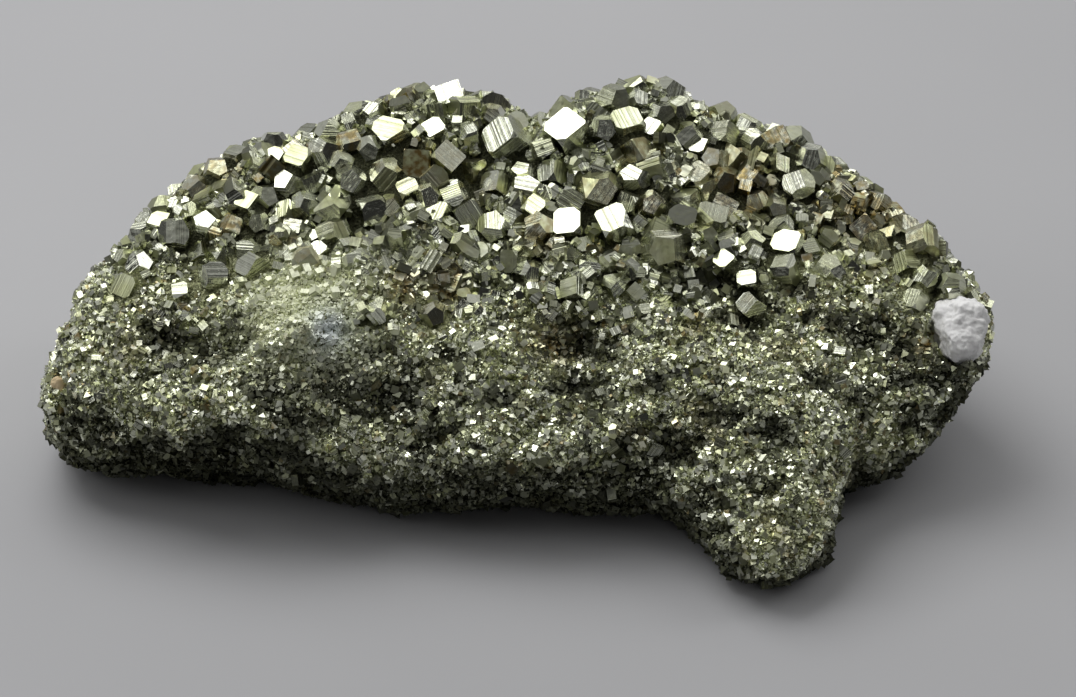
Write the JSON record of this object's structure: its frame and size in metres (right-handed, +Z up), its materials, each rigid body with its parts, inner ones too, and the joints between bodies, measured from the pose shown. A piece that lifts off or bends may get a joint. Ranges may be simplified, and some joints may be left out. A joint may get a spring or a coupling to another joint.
{
  "type": "pyrite cluster",
  "caption": "Irregular natural mineral specimen: one mass of intergrown metallic pyrite crystals, coarse on top and fine below, with a white mineral lump in one end.",
  "frame": {"origin": "bottom centre of the object's box, on the surface it rests on", "axes": "+X along its length towards the end with the white lump, +Y from the fine-grained front to the back, +Z up"},
  "size_m": [0.149, 0.082, 0.0498],
  "materials": {
    "pyrite": "pale brass-yellow metallic crystal faces, mirror bright to dull grey, with brown tarnish in the hollows",
    "white_gangue": "matt white, slightly grey"
  },
  "bodies": {
    "root": {"pyrite_mass": "pyrite", "white_gangue": "white_gangue"}
  },
  "joints": []
}
